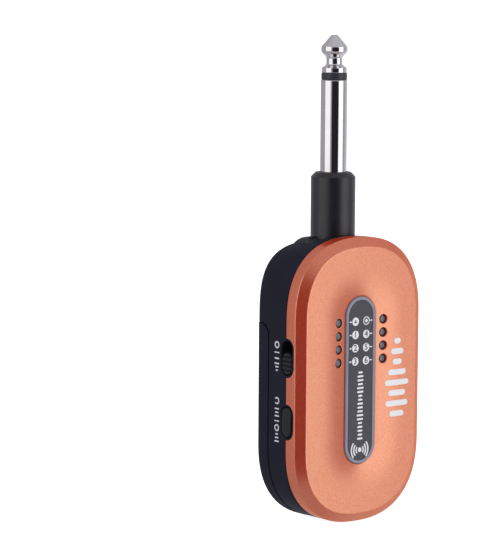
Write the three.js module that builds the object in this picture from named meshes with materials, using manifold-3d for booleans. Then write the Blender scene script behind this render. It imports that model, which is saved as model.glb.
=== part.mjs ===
// A plug-in wireless transmitter for an electric guitar: a pocket-size, round-ended housing that hangs on
// a quarter-inch phone plug. The plug folds back on a hinge barrel at the top of the housing. A slide
// switch and a push button sit in the left edge, eight light pipes flank the label in the dished front
// cover, and the battery, circuit board and charging socket are inside.
//
// Millimetres, +Z up. The origin is on the plug's axis, where the chrome sleeve leaves the collar.
// +Z runs towards the plug's tip, -Y is the front and +Y the back, so the housing hangs below the origin.
import * as THREE from "three";
import { mergeVertices } from "three/addons/utils/BufferGeometryUtils.js";
import Module from "manifold-3d";

const wasm = await Module();
wasm.setup();

// ---------------------------------------------------------------- driving dimensions

// Housing. Depths are measured back from the flat of the front cover, heights up from the housing's middle.
const HOUSING_WIDTH = 38.6;
const HOUSING_HEIGHT = 67.8;
const HOUSING_DEPTH = 16.6;
const END_POWER = 2.42; // exponent of the superellipse that rounds each end
const WALL = 1.4;
const GAP = 0.3; // clearance between pieces that touch on the real object

// Front cover
const BEVEL_INSET = 2.2;
const BEVEL_DEPTH = 1.55;
const PARTING_DEPTH = 4.75; // where the front cover ends and the black frame begins
const DISH_DEPTH = 0.8;
const DISH_REACH = 6; // how far out from the label the face starts to sink

// Label
const LABEL_WIDTH = 9.2;
const LABEL_HEIGHT = 39.9;
const LABEL_RIM = 0.8;
const LABEL_DEPTH = 0.45;

// Light pipes: two columns of four
const LIGHT_COLUMN = 6.9;
const LIGHT_TOP = 14.1;
const LIGHT_PITCH = 3.15;
const LIGHT_ROWS = 4;
const LIGHT_HOLE_RADIUS = 1.1;
const LENS_RADIUS = 0.8;
const LENS_DEPTH = 1.15;

// Frame and rear cover
const SHOULDER_POWER = 3.4; // the frame's top corners grow squarer towards the back
const SHOULDER_DROP = 1.4; // and its crown comes down by this much
const BACK_ROUND = 2.8;
const SEAM_DEPTH = 11.2;
const SEAM_TOP = 13.9;
const SEAM_CORNER = 2.8;

// Plug, hinge and collar
const PLUG_DEPTH = 11.1; // the plug's axis, back from the front face
const SHOULDER_HEIGHT = 48.7; // the top of the collar, up from the housing's middle
const COLLAR_RADIUS = 5.3;
const COLLAR_CHAMFER = 1.1;
const HINGE_HEIGHT = 26.9;
const BARREL_CROWN = 6.8; // the barrel's radius at its top; its sides and underside keep the collar's radius
const BARREL_HALF = 8.8;
const BAY_HALF = 9.1;
const CHEEK = 1.5;
const PIN_RADIUS = 1.8;
const PLUG_LENGTH = 32.3;
const SLEEVE_RADIUS = 3.175;
const SLEEVE_BORE = 2.3;
const SLEEVE_TOP = 21.7;
const INSULATOR_RADIUS = 3.02;
const INSULATOR_HEIGHT = 1.6;
const INSULATOR_TUBE_RADIUS = 2;
const ROD_RADIUS = 1.2;

// Switch and button in the left edge
const CONTROL_DEPTH = 4.5;
const CONTROL_HALF_WIDTH = 2;
const BEZEL = 0.4;
const SWITCH_HEIGHT = 6.5;
const SWITCH_SLOT_HALF = 4.15;
const SWITCH_TRAVEL = 2.2;
const KNOB_HALF_LENGTH = 2.6;
const KNOB_HALF_WIDTH = 1.6;
const BUTTON_HEIGHT = -8.6;
const BUTTON_SLOT_HALF = 3.75;
const BUTTON_HALF_LENGTH = 3.25;
const BUTTON_HALF_WIDTH = 1.55;

// Inside
const BOARD_DEPTH = 6.3;
const BOARD_THICKNESS = 1;
const SOCKET_DEPTH = 9;
const SOCKET_HALF_WIDTH = 4.5;
const SOCKET_HALF_HEIGHT = 1.6;

const HALF_WIDTH = HOUSING_WIDTH / 2;
const HALF_HEIGHT = HOUSING_HEIGHT / 2;
const yAt = (depth) => depth - PLUG_DEPTH;
const zAt = (height) => height - SHOULDER_HEIGHT;

// ---------------------------------------------------------------- solids

// A geometry as a manifold-3d solid with its faces pointing out.
function solidOf(geometry) {
  const bare = geometry.index ? geometry.toNonIndexed() : geometry.clone();
  for (const name of Object.keys(bare.attributes)) if (name !== "position") bare.deleteAttribute(name);
  const merged = mergeVertices(bare, 1e-4);
  const vertProperties = merged.attributes.position.array;
  const triVerts = new Uint32Array(merged.index.array);
  const build = () => new wasm.Manifold(new wasm.Mesh({ numProp: 3, vertProperties, triVerts }));
  const made = build();
  if (made.volume() > 0) return made;
  for (let i = 0; i < triVerts.length; i += 3) {
    [triVerts[i + 1], triVerts[i + 2]] = [triVerts[i + 2], triVerts[i + 1]];
  }
  return build();
}

function geometryOf(solid) {
  const mesh = solid.getMesh();
  const positions = new Float32Array(mesh.numVert * 3);
  for (let i = 0; i < mesh.numVert; i++) {
    positions.set(mesh.vertProperties.subarray(i * mesh.numProp, i * mesh.numProp + 3), i * 3);
  }
  const geometry = new THREE.BufferGeometry();
  geometry.setAttribute("position", new THREE.BufferAttribute(positions, 3));
  geometry.setIndex(new THREE.BufferAttribute(new Uint32Array(mesh.triVerts), 1));
  geometry.computeVertexNormals();
  return geometry;
}

const cut = (solid, ...tools) => tools.reduce((rest, tool) => rest.subtract(tool), solid);
const join = (solid, ...more) => more.reduce((sum, piece) => sum.add(piece), solid);

function box(x0, x1, y0, y1, z0, z1) {
  const geometry = new THREE.BoxGeometry(x1 - x0, y1 - y0, z1 - z0);
  return solidOf(geometry.translate((x0 + x1) / 2, (y0 + y1) / 2, (z0 + z1) / 2));
}

// A solid turned about the Z axis from [radius, z] points that start and end on the axis.
function turned(profile, segments) {
  const geometry = new THREE.LatheGeometry(profile.map(([r, z]) => new THREE.Vector2(r, z)), segments);
  return solidOf(geometry.rotateX(Math.PI / 2));
}

const rod = (radius, z0, z1, segments) => turned([[0, z0], [radius, z0], [radius, z1], [0, z1]], segments);

// The same rod laid along X or along Y, about the point (x or y, z) that it passes through.
function rodAlongX(radius, x0, x1, y, z, segments) {
  const geometry = new THREE.CylinderGeometry(radius, radius, x1 - x0, segments);
  return solidOf(geometry.rotateZ(Math.PI / 2).translate((x0 + x1) / 2, y, z));
}

function rodAlongY(radius, y0, y1, x, z, segments) {
  const geometry = new THREE.CylinderGeometry(radius, radius, y1 - y0, segments);
  return solidOf(geometry.translate(x, (y0 + y1) / 2, z));
}

// A shape drawn in (y, z) and extruded along X, and one drawn in (x, z) and extruded along Y.
function acrossX(shape, x0, x1, curveSegments) {
  const geometry = new THREE.ExtrudeGeometry(shape, { depth: x1 - x0, bevelEnabled: false, curveSegments });
  const turn = new THREE.Matrix4().set(0, 0, 1, x0, 1, 0, 0, 0, 0, 1, 0, 0, 0, 0, 0, 1);
  return solidOf(geometry.applyMatrix4(turn));
}

function alongY(shape, y0, y1, curveSegments) {
  const geometry = new THREE.ExtrudeGeometry(shape, { depth: y1 - y0, bevelEnabled: false, curveSegments });
  return solidOf(geometry.rotateX(Math.PI / 2).translate(0, y1, 0));
}

// A stadium, tall in its second coordinate.
function stadium(cx, cy, halfWidth, halfHeight) {
  const straight = halfHeight - halfWidth;
  const shape = new THREE.Shape();
  shape.absarc(cx, cy + straight, halfWidth, 0, Math.PI, false);
  shape.absarc(cx, cy - straight, halfWidth, Math.PI, 2 * Math.PI, false);
  shape.closePath();
  return shape;
}

function roundedBar(cx, cy, halfWidth, halfHeight, radius) {
  const shape = new THREE.Shape();
  const [x, y] = [halfWidth - radius, halfHeight - radius];
  shape.absarc(cx + x, cy + y, radius, 0, Math.PI / 2, false);
  shape.absarc(cx - x, cy + y, radius, Math.PI / 2, Math.PI, false);
  shape.absarc(cx - x, cy - y, radius, Math.PI, 1.5 * Math.PI, false);
  shape.absarc(cx + x, cy - y, radius, 1.5 * Math.PI, 2 * Math.PI, false);
  shape.closePath();
  return shape;
}

// ---------------------------------------------------------------- the housing's outlines

const OUTLINE_POINTS = 56;

// One closed ring of points at a depth: straight sides with a superellipse at each end.
function ring(depthOf, { halfWidth, top, bottom, topPower = END_POWER, bottomPower = END_POWER }) {
  const points = [];
  for (let i = 0; i < OUTLINE_POINTS; i++) {
    const angle = ((i + 0.5) / OUTLINE_POINTS) * 2 * Math.PI;
    const [c, s] = [Math.cos(angle), Math.sin(angle)];
    const power = s > 0 ? topPower : bottomPower;
    const x = Math.sign(c) * halfWidth * Math.abs(c) ** (2 / power);
    const end = (s > 0 ? top : bottom) - halfWidth;
    const height = Math.sign(s) * (end + halfWidth * Math.abs(s) ** (2 / power));
    points.push(new THREE.Vector3(x, yAt(depthOf(x, height)), zAt(height)));
  }
  return points;
}

// Closes a pile of rings into one solid, with a flat cap on the first and on the last ring.
function loft(rings) {
  const positions = [];
  const index = [];
  rings.forEach((points) => points.forEach((p) => positions.push(p.x, p.y, p.z)));
  const n = OUTLINE_POINTS;
  for (let r = 0; r < rings.length - 1; r++) {
    for (let i = 0; i < n; i++) {
      const [a, b] = [r * n + i, r * n + ((i + 1) % n)];
      index.push(a, b, b + n, a, b + n, a + n);
    }
  }
  const capOf = (points) =>
    THREE.ShapeUtils.triangulateShape(points.map((p) => new THREE.Vector2(p.x, p.z)), []);
  const last = (rings.length - 1) * n;
  capOf(rings[0]).forEach(([a, b, c]) => index.push(a, c, b));
  capOf(rings[rings.length - 1]).forEach(([a, b, c]) => index.push(last + a, last + b, last + c));
  const geometry = new THREE.BufferGeometry();
  geometry.setAttribute("position", new THREE.Float32BufferAttribute(positions, 3));
  geometry.setIndex(index);
  return solidOf(geometry);
}

const coverOutline = (inset) => ({
  halfWidth: HALF_WIDTH - inset,
  top: HALF_HEIGHT - inset,
  bottom: HALF_HEIGHT - inset,
});

// The frame leaves the front cover with the cover's own outline and grows squarer at its top corners.
function frameOutline(depth, inset) {
  const share = THREE.MathUtils.smoothstep(depth, PARTING_DEPTH, HOUSING_DEPTH - BACK_ROUND);
  return {
    halfWidth: HALF_WIDTH - inset,
    top: HALF_HEIGHT - SHOULDER_DROP * share - inset,
    bottom: HALF_HEIGHT - inset,
    topPower: THREE.MathUtils.lerp(END_POWER, SHOULDER_POWER, share),
  };
}

const frameRing = (depth, inset) => ring(() => depth, frameOutline(depth, inset));

// The whole black half of the housing, from its front edge to its rounded back.
function frameEnvelope(front, inset) {
  const back = HOUSING_DEPTH - inset;
  const round = BACK_ROUND - inset;
  const rings = [front, 7, 9.5, 12].map((depth) => frameRing(depth, inset));
  for (const step of [0, 0.25, 0.5, 0.75, 1]) {
    const angle = (step * Math.PI) / 2;
    rings.push(frameRing(back - round + round * Math.sin(angle), inset + round * (1 - Math.cos(angle))));
  }
  return loft(rings);
}

// How far the front face has sunk at a point, from its distance to the label.
function dish(x, height) {
  const straight = (LABEL_HEIGHT - LABEL_WIDTH) / 2;
  const away = Math.hypot(x, Math.max(0, Math.abs(height) - straight)) - LABEL_WIDTH / 2;
  return DISH_DEPTH * Math.max(0, 1 - Math.max(0, away) / DISH_REACH) ** 2;
}

// ---------------------------------------------------------------- materials

const finish = (color, roughness, metalness = 0) =>
  new THREE.MeshStandardMaterial({ color, roughness, metalness });
const ORANGE = finish(0xd9764f, 0.4, 0.5);
const BLACK = finish(0x24252b, 0.6);
const SOFT_BLACK = finish(0x1b1c20, 0.55);
const CHROME = finish(0xd8d8dc, 0.08, 1);
const DARK_GREY = finish(0x47484e, 0.5);
const RIM_GREY = finish(0x8c90a0, 0.4, 0.4);
const SMOKED = finish(0x5b6274, 0.2);
const BOARD_GREEN = finish(0x1f5a3a, 0.6);
const STEEL = finish(0xa9abb0, 0.3, 1);
const FOIL = finish(0xb9bcc4, 0.35, 0.6);
const FOAM = finish(0x33343a, 0.9);
const CERAMIC = finish(0xe9e6da, 0.5);

const part = new THREE.Group();

function add(name, solid, material) {
  const mesh = new THREE.Mesh(geometryOf(solid), material);
  mesh.name = name;
  part.add(mesh);
}

// ---------------------------------------------------------------- openings in the left edge

const control = (height, halfWidth, halfLength) =>
  acrossX(
    stadium(yAt(CONTROL_DEPTH), zAt(height), halfWidth, halfLength),
    -HALF_WIDTH - 2,
    -HALF_WIDTH + 3.4,
    8,
  );
const controls = [
  { height: SWITCH_HEIGHT, half: SWITCH_SLOT_HALF },
  { height: BUTTON_HEIGHT, half: BUTTON_SLOT_HALF },
];
const controlSlots = controls.map(({ height, half }) => control(height, CONTROL_HALF_WIDTH, half));
const controlBezels = controls.map(({ height, half }) =>
  control(height, CONTROL_HALF_WIDTH + BEZEL, half + BEZEL),
);
const controlNotches = controls.map(({ height, half }) =>
  control(height, CONTROL_HALF_WIDTH + BEZEL + GAP / 2, half + BEZEL + GAP / 2),
);

// ---------------------------------------------------------------- front cover, label and lights

const lights = [];
for (const side of [-1, 1]) {
  for (let row = 0; row < LIGHT_ROWS; row++) {
    lights.push({
      name: `${side < 0 ? "left" : "right"}_${row + 1}`,
      x: side * LIGHT_COLUMN,
      height: LIGHT_TOP - row * LIGHT_PITCH,
    });
  }
}

function frontCover() {
  const flat = (depth) => () => depth;
  const label = { halfWidth: LABEL_WIDTH / 2 + GAP / 2, top: LABEL_HEIGHT / 2 + GAP / 2, topPower: 2 };
  const recess = { ...label, bottom: label.top, bottomPower: 2 };
  const between = (share) => ({
    halfWidth: THREE.MathUtils.lerp(HALF_WIDTH - BEVEL_INSET, recess.halfWidth, share),
    top: THREE.MathUtils.lerp(HALF_HEIGHT - BEVEL_INSET, recess.top, share),
    bottom: THREE.MathUtils.lerp(HALF_HEIGHT - BEVEL_INSET, recess.bottom, share),
    topPower: THREE.MathUtils.lerp(END_POWER, 2, share),
    bottomPower: THREE.MathUtils.lerp(END_POWER, 2, share),
  });
  const innerFace = WALL + BEVEL_DEPTH / 2;
  const shell = loft([
    ring(flat(innerFace), coverOutline(BEVEL_INSET + WALL)),
    ring(flat(BEVEL_DEPTH + WALL), coverOutline(WALL)),
    ring(flat(PARTING_DEPTH), coverOutline(WALL)),
    ring(flat(PARTING_DEPTH), coverOutline(0)),
    ring(flat(BEVEL_DEPTH), coverOutline(0)),
    ...[0, 0.3, 0.55, 0.75, 0.9].map((share) => ring(dish, between(share))),
    ring(dish, recess),
    ring(flat(LABEL_DEPTH + 0.8), recess),
  ]);
  const holes = lights.map(({ x, height }) =>
    rodAlongY(LIGHT_HOLE_RADIUS, yAt(-1), yAt(4), x, zAt(height), 12),
  );
  return cut(shell, ...holes, ...controlNotches);
}
add("front_cover", frontCover(), ORANGE);

const labelHalf = [LABEL_WIDTH / 2, LABEL_HEIGHT / 2];
const labelShape = (inset) => stadium(0, zAt(0), labelHalf[0] - inset, labelHalf[1] - inset);
const rimFloor = yAt(LABEL_DEPTH + 0.65);
add(
  "label_frame",
  cut(
    alongY(labelShape(0), yAt(LABEL_DEPTH), rimFloor, 10),
    alongY(labelShape(LABEL_RIM), yAt(LABEL_DEPTH - 1), yAt(LABEL_DEPTH + 2), 10),
  ),
  RIM_GREY,
);
add(
  "label_plate",
  alongY(labelShape(LABEL_RIM + GAP / 2), yAt(LABEL_DEPTH + 0.12), rimFloor, 10),
  DARK_GREY,
);

for (const { name, x, height } of lights) {
  const lens = join(
    rodAlongY(LENS_RADIUS, yAt(LENS_DEPTH), yAt(5.3), x, zAt(height), 10),
    rodAlongY(LENS_RADIUS + 0.5, yAt(4.5), yAt(5.3), x, zAt(height), 10),
  );
  add(`light_pipe_${name}`, lens, SMOKED);
  add(
    `light_chip_${name}`,
    box(x - 0.5, x + 0.5, yAt(5.6), yAt(BOARD_DEPTH - 0.1), zAt(height) - 0.8, zAt(height) + 0.8),
    CERAMIC,
  );
}

// ---------------------------------------------------------------- frame and rear cover

const screws = [-1, 1].flatMap((side) => [
  { side, x: side * 13.6, height: 7.5 },
  { side, x: side * 11.6, height: -23.5 },
]);
const boardScrews = [
  { name: "upper", x: 12.6, height: 17.2 },
  { name: "lower", x: -12.2, height: -21 },
];
const SCREW_RADIUS = 0.8;
const SCREW_HEAD_RADIUS = 1.6;
const SCREW_HEAD = 1;

// The side view of the rear cover: everything behind the seam and below its rounded top corner.
function rearZone(grow) {
  const front = yAt(SEAM_DEPTH - grow);
  const top = zAt(SEAM_TOP + grow);
  const shape = new THREE.Shape();
  shape.moveTo(front, zAt(-HALF_HEIGHT - 5));
  shape.lineTo(front, top - SEAM_CORNER);
  shape.absarc(front + SEAM_CORNER, top - SEAM_CORNER, SEAM_CORNER, Math.PI, Math.PI / 2, true);
  shape.lineTo(yAt(HOUSING_DEPTH + 5), top);
  shape.lineTo(yAt(HOUSING_DEPTH + 5), zAt(-HALF_HEIGHT - 5));
  shape.closePath();
  return acrossX(shape, -HALF_WIDTH - 5, HALF_WIDTH + 5, 6);
}

const socketMouth = () => {
  const shape = roundedBar(0, yAt(SOCKET_DEPTH), SOCKET_HALF_WIDTH + GAP, SOCKET_HALF_HEIGHT + GAP, 1.5);
  const geometry = new THREE.ExtrudeGeometry(shape, { depth: 8, bevelEnabled: false, curveSegments: 4 });
  return solidOf(geometry.translate(0, 0, zAt(-HALF_HEIGHT - 3)));
};

function frame() {
  const front = PARTING_DEPTH + 0.12;
  const outside = frameEnvelope(front, 0);
  const lipDepth = 1;
  const lip = loft([
    ring(() => front - lipDepth, coverOutline(WALL + GAP)),
    ring(() => front + 1.5, coverOutline(WALL + GAP)),
  ]);
  const lipBore = loft([
    ring(() => front - lipDepth - 1, coverOutline(2 * WALL)),
    ring(() => front + 2, coverOutline(2 * WALL)),
  ]);
  const hollow = frameEnvelope(front - 1, WALL);
  const shell = cut(join(outside, lip), hollow, lipBore, rearZone(GAP / 2));
  const bayFloor = HINGE_HEIGHT - COLLAR_RADIUS - GAP;
  const block = box(
    -BAY_HALF - CHEEK,
    BAY_HALF + CHEEK,
    yAt(front),
    yAt(HOUSING_DEPTH),
    zAt(bayFloor - CHEEK),
    zAt(HALF_HEIGHT),
  ).intersect(outside);
  const bay = box(
    -BAY_HALF,
    BAY_HALF,
    yAt(PLUG_DEPTH - COLLAR_RADIUS - 0.25),
    yAt(HOUSING_DEPTH + 5),
    zAt(bayFloor),
    zAt(HALF_HEIGHT + 5),
  );
  const lipRelief = box(
    -BAY_HALF,
    BAY_HALF,
    yAt(front - 2),
    yAt(front),
    zAt(HALF_HEIGHT - 8),
    zAt(HALF_HEIGHT + 1),
  );
  const pinHoles = rodAlongX(PIN_RADIUS + 0.2, -BAY_HALF - 5, BAY_HALF + 5, 0, zAt(HINGE_HEIGHT), 20);
  const wallBehindControls = box(
    -HALF_WIDTH,
    -HALF_WIDTH + 2.2,
    yAt(0),
    yAt(CONTROL_DEPTH + 4),
    zAt(-16),
    zAt(14),
  ).intersect(loft([ring(() => 0, coverOutline(0)), ring(() => 12, coverOutline(0))]));
  const bezels = controlBezels.map((bezel) => bezel.intersect(wallBehindControls));
  const posts = screws.map(({ x, height }) =>
    rodAlongY(2, yAt(8), yAt(SEAM_DEPTH + 0.9), x, zAt(height), 12),
  );
  const arms = screws.map(({ side, height }) =>
    box(
      side < 0 ? -HALF_WIDTH + 0.7 : 12,
      side < 0 ? -12 : HALF_WIDTH - 0.7,
      yAt(8),
      yAt(SEAM_DEPTH - GAP),
      zAt(height) - 0.6,
      zAt(height) + 0.6,
    ),
  );
  const boardPosts = boardScrews.map(({ x, height }) =>
    rodAlongY(1.9, yAt(BOARD_DEPTH + BOARD_THICKNESS + 0.15), yAt(SEAM_DEPTH - GAP), x, zAt(height), 12),
  );
  const boardArms = boardScrews.map(({ x, height }) =>
    box(
      x < 0 ? -HALF_WIDTH + 0.7 : x,
      x < 0 ? x : HALF_WIDTH - 0.7,
      yAt(BOARD_DEPTH + BOARD_THICKNESS + 0.15),
      yAt(SEAM_DEPTH - GAP),
      zAt(height) - 0.6,
      zAt(height) + 0.6,
    ),
  );
  const inside = frameEnvelope(front, 0.5);
  const ribs = [...posts, ...arms, ...boardPosts, ...boardArms].map((rib) => rib.intersect(inside));
  const screwBores = [
    ...screws.map(({ x, height }) => rodAlongY(SCREW_RADIUS + 0.15, yAt(7), yAt(13), x, zAt(height), 8)),
    ...boardScrews.map(({ x, height }) => rodAlongY(SCREW_RADIUS + 0.15, yAt(6), yAt(12), x, zAt(height), 8)),
  ];
  return cut(
    join(shell, block, ...bezels, ...ribs),
    bay,
    lipRelief,
    pinHoles,
    ...controlSlots,
    socketMouth(),
    ...screwBores,
  );
}
add("frame", frame(), BLACK);

function rearCover() {
  const outside = frameEnvelope(SEAM_DEPTH - 2, 0);
  const hollow = frameEnvelope(SEAM_DEPTH - 3, WALL);
  const behindSeam = rearZone(0);
  const topWall = box(
    -HALF_WIDTH,
    HALF_WIDTH,
    yAt(SEAM_DEPTH + SEAM_CORNER),
    yAt(HOUSING_DEPTH),
    zAt(SEAM_TOP - WALL),
    zAt(SEAM_TOP),
  ).intersect(outside);
  const skin = cut(outside, hollow);
  const posts = screws.map(({ x, height }) =>
    rodAlongY(2.4, yAt(SEAM_DEPTH + 1.2), yAt(HOUSING_DEPTH - 0.5), x, zAt(height), 12),
  );
  const heads = screws.map(({ x, height }) =>
    rodAlongY(SCREW_HEAD_RADIUS + 0.2, yAt(HOUSING_DEPTH - 2), yAt(HOUSING_DEPTH + 1), x, zAt(height), 14),
  );
  const bores = screws.map(({ x, height }) =>
    rodAlongY(SCREW_RADIUS + 0.2, yAt(SEAM_DEPTH), yAt(HOUSING_DEPTH), x, zAt(height), 8),
  );
  return cut(join(skin, topWall, ...posts).intersect(behindSeam), ...heads, ...bores);
}
add("rear_cover", rearCover(), BLACK);

// A small cheese-head screw along Y with a cross recess, its head towards the back (1) or the front (-1).
function screw(x, height, headDepth, length, towards) {
  const z = zAt(height);
  const headY = yAt(headDepth);
  const [h0, h1] = towards > 0 ? [headY - SCREW_HEAD, headY] : [headY, headY + SCREW_HEAD];
  const [s0, s1] = towards > 0 ? [h0 - length, h0 + 0.1] : [h1 - 0.1, h1 + length];
  const head = rodAlongY(SCREW_HEAD_RADIUS, h0, h1, x, z, 12);
  const shank = rodAlongY(SCREW_RADIUS - 0.1, s0, s1, x, z, 8);
  const recess = 0.55;
  const slotY = towards > 0 ? [h1 - recess, h1 + 1] : [h0 - 1, h0 + recess];
  const arm = SCREW_HEAD_RADIUS * 0.62;
  return cut(
    join(head, shank),
    box(x - arm, x + arm, ...slotY, z - 0.18, z + 0.18),
    box(x - 0.18, x + 0.18, ...slotY, z - arm, z + arm),
  );
}
screws.forEach(({ x, height }, i) => {
  add(`rear_screw_${i + 1}`, screw(x, height, HOUSING_DEPTH - 0.7, 5.6, 1), STEEL);
});
boardScrews.forEach(({ name, x, height }) => {
  add(`board_screw_${name}`, screw(x, height, BOARD_DEPTH - 0.15 - SCREW_HEAD, 3.4, -1), STEEL);
});

// ---------------------------------------------------------------- circuit board and what is on it

const boardY = [yAt(BOARD_DEPTH), yAt(BOARD_DEPTH + BOARD_THICKNESS)];
const boardTop = HINGE_HEIGHT - COLLAR_RADIUS - GAP - CHEEK - 0.8;

function circuitBoard() {
  const faces = [BOARD_DEPTH, BOARD_DEPTH + BOARD_THICKNESS];
  const blank = loft(faces.map((depth) => ring(() => depth, coverOutline(2 * WALL + 0.5))));
  const trim = box(-HALF_WIDTH, HALF_WIDTH, boardY[0] - 1, boardY[1] + 1, zAt(boardTop), zAt(HALF_HEIGHT));
  const holes = boardScrews.map(({ x, height }) =>
    rodAlongY(SCREW_RADIUS + 0.1, boardY[0] - 1, boardY[1] + 1, x, zAt(height), 8),
  );
  return cut(blank, trim, ...holes);
}
add("circuit_board", circuitBoard(), BOARD_GREEN);

const boardFront = boardY[0] - 0.1;
const boardBack = boardY[1] + 0.1;
add("radio_shield", box(-5.5, 5.5, boardFront - 1.5, boardFront, zAt(-17), zAt(-5)), STEEL);
add("chip_antenna", box(-4, 4, boardFront - 1.2, boardFront, zAt(16.4), zAt(18.4)), CERAMIC);
add("battery", box(-9, 9, boardBack + 0.9, yAt(HOUSING_DEPTH - WALL) - 0.35, zAt(-20.5), zAt(12)), FOIL);
add("battery_pad", box(-7.5, 7.5, boardBack + 0.1, boardBack + 0.75, zAt(-18), zAt(9.5)), FOAM);

function socketShell() {
  const tube = (shrink) => {
    const shape = roundedBar(
      0,
      yAt(SOCKET_DEPTH),
      SOCKET_HALF_WIDTH - shrink,
      SOCKET_HALF_HEIGHT - shrink,
      1.4 - shrink,
    );
    const depth = 7.4 + 2 * shrink;
    return new THREE.ExtrudeGeometry(shape, { depth, bevelEnabled: false, curveSegments: 5 });
  };
  const mouth = zAt(-HALF_HEIGHT) + 0.35;
  const outside = solidOf(tube(0).translate(0, 0, mouth));
  const inside = solidOf(tube(0.3).translate(0, 0, mouth - 1.4));
  return cut(outside, inside);
}
add("charging_socket", socketShell(), STEEL);
const tongueZ = zAt(-HALF_HEIGHT) + 1.2;
add(
  "socket_tongue",
  box(-3.2, 3.2, yAt(SOCKET_DEPTH) - 0.35, yAt(SOCKET_DEPTH) + 0.35, tongueZ, tongueZ + 4.6),
  SOFT_BLACK,
);

// ---------------------------------------------------------------- slide switch

const switchSlide = SWITCH_HEIGHT - SWITCH_SLOT_HALF + 0.25 + KNOB_HALF_LENGTH;
const SWITCH_CASE_X = -HALF_WIDTH + 4.6;
const STEM_HALF = 0.9;

function switchCase() {
  const middle = switchSlide + SWITCH_TRAVEL / 2;
  const [bottom, top] = [zAt(middle - 4.2), zAt(middle + 4.2)];
  const can = box(SWITCH_CASE_X, SWITCH_CASE_X + 3.4, yAt(2.9), boardFront, bottom, top);
  const reach = SWITCH_TRAVEL / 2 + STEM_HALF + GAP;
  const window = box(
    SWITCH_CASE_X - 1,
    SWITCH_CASE_X + 1.7,
    yAt(CONTROL_DEPTH - STEM_HALF - GAP),
    yAt(CONTROL_DEPTH + STEM_HALF + GAP),
    zAt(middle - reach),
    zAt(middle + reach),
  );
  return cut(can, window);
}
add("switch_case", switchCase(), STEEL);
add(
  "switch_stem",
  box(
    SWITCH_CASE_X - 0.6,
    SWITCH_CASE_X + 1.4,
    yAt(CONTROL_DEPTH - STEM_HALF),
    yAt(CONTROL_DEPTH + STEM_HALF),
    zAt(switchSlide - STEM_HALF),
    zAt(switchSlide + STEM_HALF),
  ),
  CERAMIC,
);

function switchKnob() {
  const outer = -HALF_WIDTH - 0.1;
  const inner = -HALF_WIDTH + 3.3;
  const y = yAt(CONTROL_DEPTH);
  const z = zAt(switchSlide);
  const cap = acrossX(stadium(y, z, KNOB_HALF_WIDTH, KNOB_HALF_LENGTH), outer, inner, 10);
  const grooves = [-1.5, -0.5, 0.5, 1.5].map((place) =>
    box(outer - 1, outer + 0.35, y - 3, y + 3, z + place - 0.14, z + place + 0.14),
  );
  const foot = box(inner - 0.1, inner + 0.4, y - 1.2, y + 1.2, z - 1.6, z + 1.6);
  return cut(join(cap, foot), ...grooves);
}
add("switch_knob", switchKnob(), SOFT_BLACK);

// ---------------------------------------------------------------- push button

const BUTTON_CASE_X = -HALF_WIDTH + 5.6;
const PLUNGER_LENGTH = 1.5;
const PLUNGER_RADIUS = 1;

function buttonCase() {
  const z = zAt(BUTTON_HEIGHT);
  const can = box(BUTTON_CASE_X, BUTTON_CASE_X + 3.4, yAt(2.9), boardFront, z - 2.5, z + 2.5);
  const well = rodAlongX(
    PLUNGER_RADIUS + GAP,
    BUTTON_CASE_X - 1,
    BUTTON_CASE_X + PLUNGER_LENGTH,
    yAt(CONTROL_DEPTH),
    z,
    14,
  );
  return cut(can, well);
}
add("button_case", buttonCase(), STEEL);
add(
  "button_plunger",
  rodAlongX(
    PLUNGER_RADIUS,
    BUTTON_CASE_X - 0.6,
    BUTTON_CASE_X - 0.6 + PLUNGER_LENGTH,
    yAt(CONTROL_DEPTH),
    zAt(BUTTON_HEIGHT),
    14,
  ),
  CERAMIC,
);

function pushButton() {
  const outer = -HALF_WIDTH - 0.25;
  const inner = BUTTON_CASE_X - 1.3;
  const y = yAt(CONTROL_DEPTH);
  const z = zAt(BUTTON_HEIGHT);
  const crown = acrossX(stadium(y, z, BUTTON_HALF_WIDTH - 0.3, BUTTON_HALF_LENGTH - 0.3), outer, inner, 8);
  const cap = acrossX(stadium(y, z, BUTTON_HALF_WIDTH, BUTTON_HALF_LENGTH), outer + 0.3, inner, 8);
  const foot = box(inner - 0.1, inner + 0.5, y - 1, y + 1, z - 2.4, z + 2.4);
  return join(crown, cap, foot);
}
add("push_button", pushButton(), SOFT_BLACK);

// ---------------------------------------------------------------- plug, collar and hinge

const hingeZ = zAt(HINGE_HEIGHT);

function swivelArm() {
  const collar = turned(
    [
      [0, hingeZ],
      [COLLAR_RADIUS, hingeZ],
      [COLLAR_RADIUS, -COLLAR_CHAMFER],
      [COLLAR_RADIUS - COLLAR_CHAMFER, 0],
      [0, 0],
    ],
    32,
  );
  const crownEdge = Math.asin(COLLAR_RADIUS / BARREL_CROWN);
  const side = new THREE.Shape();
  side.absarc(0, hingeZ, BARREL_CROWN, Math.PI / 2 - crownEdge, Math.PI / 2 + crownEdge, false);
  side.absarc(0, hingeZ, COLLAR_RADIUS, Math.PI, 2 * Math.PI, false);
  side.closePath();
  const barrel = acrossX(side, -BARREL_HALF, BARREL_HALF, 16);
  const sleeveSeat = rod(SLEEVE_RADIUS + 0.2, -10.3, 1, 24);
  const wireWay = rod(1.6, hingeZ, -10, 16);
  const pinSeat = rodAlongX(PIN_RADIUS + 0.2, -BARREL_HALF - 1, BARREL_HALF + 1, 0, hingeZ, 20);
  return cut(join(collar, barrel), sleeveSeat, wireWay, pinSeat);
}
add("swivel_arm", swivelArm(), SOFT_BLACK);

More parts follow.
